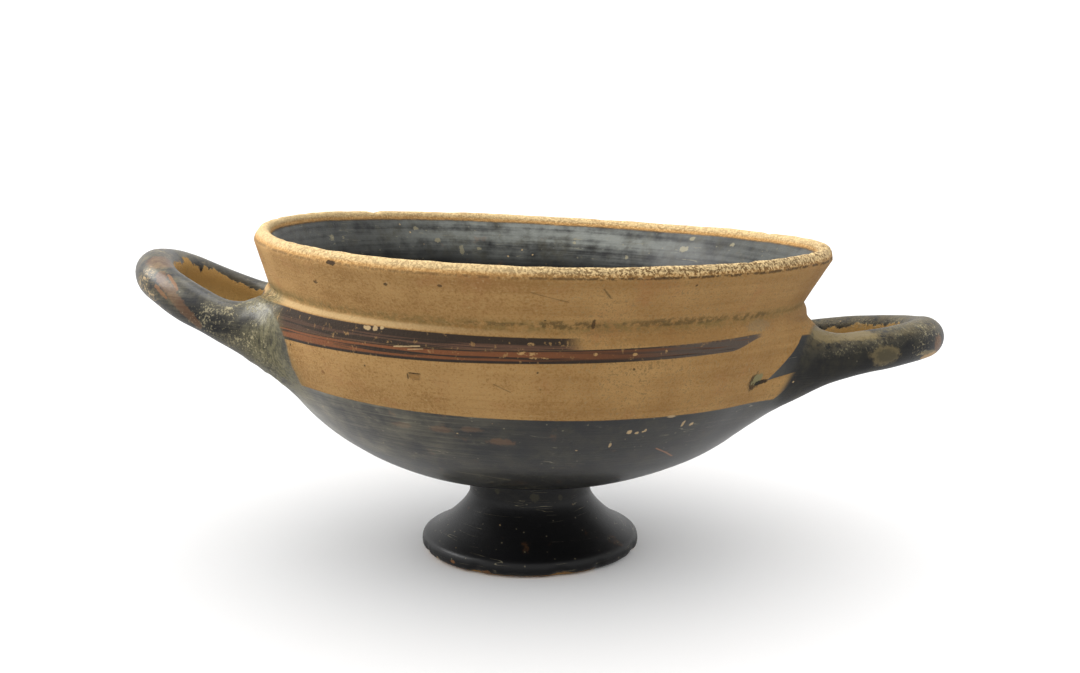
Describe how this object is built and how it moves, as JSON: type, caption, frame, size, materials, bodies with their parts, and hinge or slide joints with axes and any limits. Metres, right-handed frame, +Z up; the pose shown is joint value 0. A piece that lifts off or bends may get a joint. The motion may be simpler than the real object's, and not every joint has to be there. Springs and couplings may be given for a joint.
{
  "type": "kylix cup",
  "caption": "Shallow stemmed drinking cup of slipped, fired clay with an offset flaring lip, a low trumpet foot and horizontal loop handles.",
  "frame": {"origin": "centre of the bounding box, on the plane that the foot stands on", "axes": "+X through the right handle as the picture shows the cup, +Y away from the viewer, +Z up"},
  "size_m": [0.1922, 0.1458, 0.0798],
  "materials": {
    "slipped_clay": "buff-orange fired clay, partly covered with a satin black slip and thin dark and red-brown bands, worn and chipped"
  },
  "bodies": {
    "root": {"cup": "slipped_clay"}
  },
  "joints": []
}
